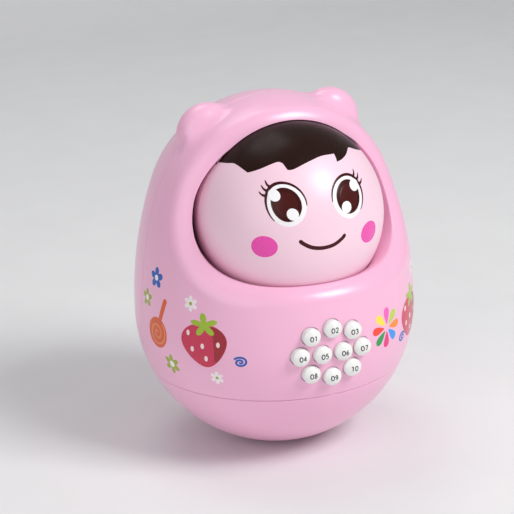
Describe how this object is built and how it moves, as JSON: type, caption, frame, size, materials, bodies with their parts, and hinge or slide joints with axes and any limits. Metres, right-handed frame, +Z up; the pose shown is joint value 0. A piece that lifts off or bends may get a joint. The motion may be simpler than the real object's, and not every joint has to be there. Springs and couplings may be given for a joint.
{
  "type": "roly poly toy",
  "caption": "Egg-shaped tumbler toy on a weighted round bowl, with a ball head that nods and sways in a hooded opening, domed push buttons and a sound unit.",
  "frame": {"origin": "centre of the small flat foot under the bowl", "axes": "+Z up through the crown, -Y the way the face looks, +X towards the viewer's right when facing the toy from the front"},
  "size_m": [0.125, 0.1286, 0.1575],
  "materials": {
    "pink_plastic": "gloss",
    "skin_plastic": "gloss",
    "white_plastic": "gloss",
    "grey_plastic": "matte",
    "black_plastic": "matte",
    "board": "satin",
    "steel": "satin",
    "iron": "matte",
    "cell_jacket": "satin",
    "contact_metal": "polished"
  },
  "bodies": {
    "root": {"base_bowl": "pink_plastic", "counterweight": "iron", "counterweight_screws": "steel", "front_shell": "pink_plastic", "rear_shell": "pink_plastic", "shell_screws": "steel", "pivot_arm": "grey_plastic", "arm_screws": "steel", "nod_pin": "steel", "pin_clips": "black_plastic", "button_board": "board", "button_board_screws": "steel", "key_switches": "black_plastic", "main_board": "board", "main_board_screws": "steel", "sound_chip": "black_plastic", "board_capacitors": "black_plastic", "speaker_frame": "steel", "speaker_cone": "black_plastic", "speaker_magnet": "iron", "speaker_screws": "steel", "battery_case": "black_plastic", "case_screws": "steel", "battery_cells": "cell_jacket", "battery_contacts": "contact_metal", "battery_door": "pink_plastic", "door_screw": "steel", "switch_body": "black_plastic", "switch_screws": "steel"},
    "gimbal": {"gimbal_block": "white_plastic", "sway_pins": "steel"},
    "head": {"face_shell": "skin_plastic", "head_rear": "skin_plastic", "head_screws": "steel", "head_hanger": "grey_plastic", "hanger_screws": "steel", "pendulum_rod": "steel", "pendulum_weight": "iron", "pendulum_nut": "steel"},
    "power_switch": {"switch_knob": "white_plastic"},
    "button_01": {"button_01": "white_plastic"},
    "button_02": {"button_02": "white_plastic"},
    "button_03": {"button_03": "white_plastic"},
    "button_04": {"button_04": "white_plastic"},
    "button_05": {"button_05": "white_plastic"},
    "button_06": {"button_06": "white_plastic"},
    "button_07": {"button_07": "white_plastic"},
    "button_08": {"button_08": "white_plastic"},
    "button_09": {"button_09": "white_plastic"},
    "button_10": {"button_10": "white_plastic"}
  },
  "joints": [
    {"name": "head_nod", "type": "hinge", "parent": "root", "child": "gimbal", "pos_m": [0, -0.019, 0.108], "axis": [1, 0, 0], "range_deg": [-12, 12]},
    {"name": "head_sway", "type": "hinge", "parent": "gimbal", "child": "head", "pos_m": [0, -0.019, 0.108], "axis": [0, 1, 0], "range_deg": [-12, 12]},
    {"name": "power_slide", "type": "slide", "parent": "root", "child": "power_switch", "axis": [0, 0, 1], "range_m": [0, 0.004]},
    {"name": "button_01_press", "type": "slide", "parent": "root", "child": "button_01", "axis": [0, 1, 0], "range_m": [0, 0.001], "stiffness_N_per_m": 900},
    {"name": "button_02_press", "type": "slide", "parent": "root", "child": "button_02", "axis": [0, 1, 0], "range_m": [0, 0.001], "stiffness_N_per_m": 900},
    {"name": "button_03_press", "type": "slide", "parent": "root", "child": "button_03", "axis": [0, 1, 0], "range_m": [0, 0.001], "stiffness_N_per_m": 900},
    {"name": "button_04_press", "type": "slide", "parent": "root", "child": "button_04", "axis": [0, 1, 0], "range_m": [0, 0.001], "stiffness_N_per_m": 900},
    {"name": "button_05_press", "type": "slide", "parent": "root", "child": "button_05", "axis": [0, 1, 0], "range_m": [0, 0.001], "stiffness_N_per_m": 900},
    {"name": "button_06_press", "type": "slide", "parent": "root", "child": "button_06", "axis": [0, 1, 0], "range_m": [0, 0.001], "stiffness_N_per_m": 900},
    {"name": "button_07_press", "type": "slide", "parent": "root", "child": "button_07", "axis": [0, 1, 0], "range_m": [0, 0.001], "stiffness_N_per_m": 900},
    {"name": "button_08_press", "type": "slide", "parent": "root", "child": "button_08", "axis": [0, 1, 0], "range_m": [0, 0.001], "stiffness_N_per_m": 900},
    {"name": "button_09_press", "type": "slide", "parent": "root", "child": "button_09", "axis": [0, 1, 0], "range_m": [0, 0.001], "stiffness_N_per_m": 900},
    {"name": "button_10_press", "type": "slide", "parent": "root", "child": "button_10", "axis": [0, 1, 0], "range_m": [0, 0.001], "stiffness_N_per_m": 900}
  ]
}
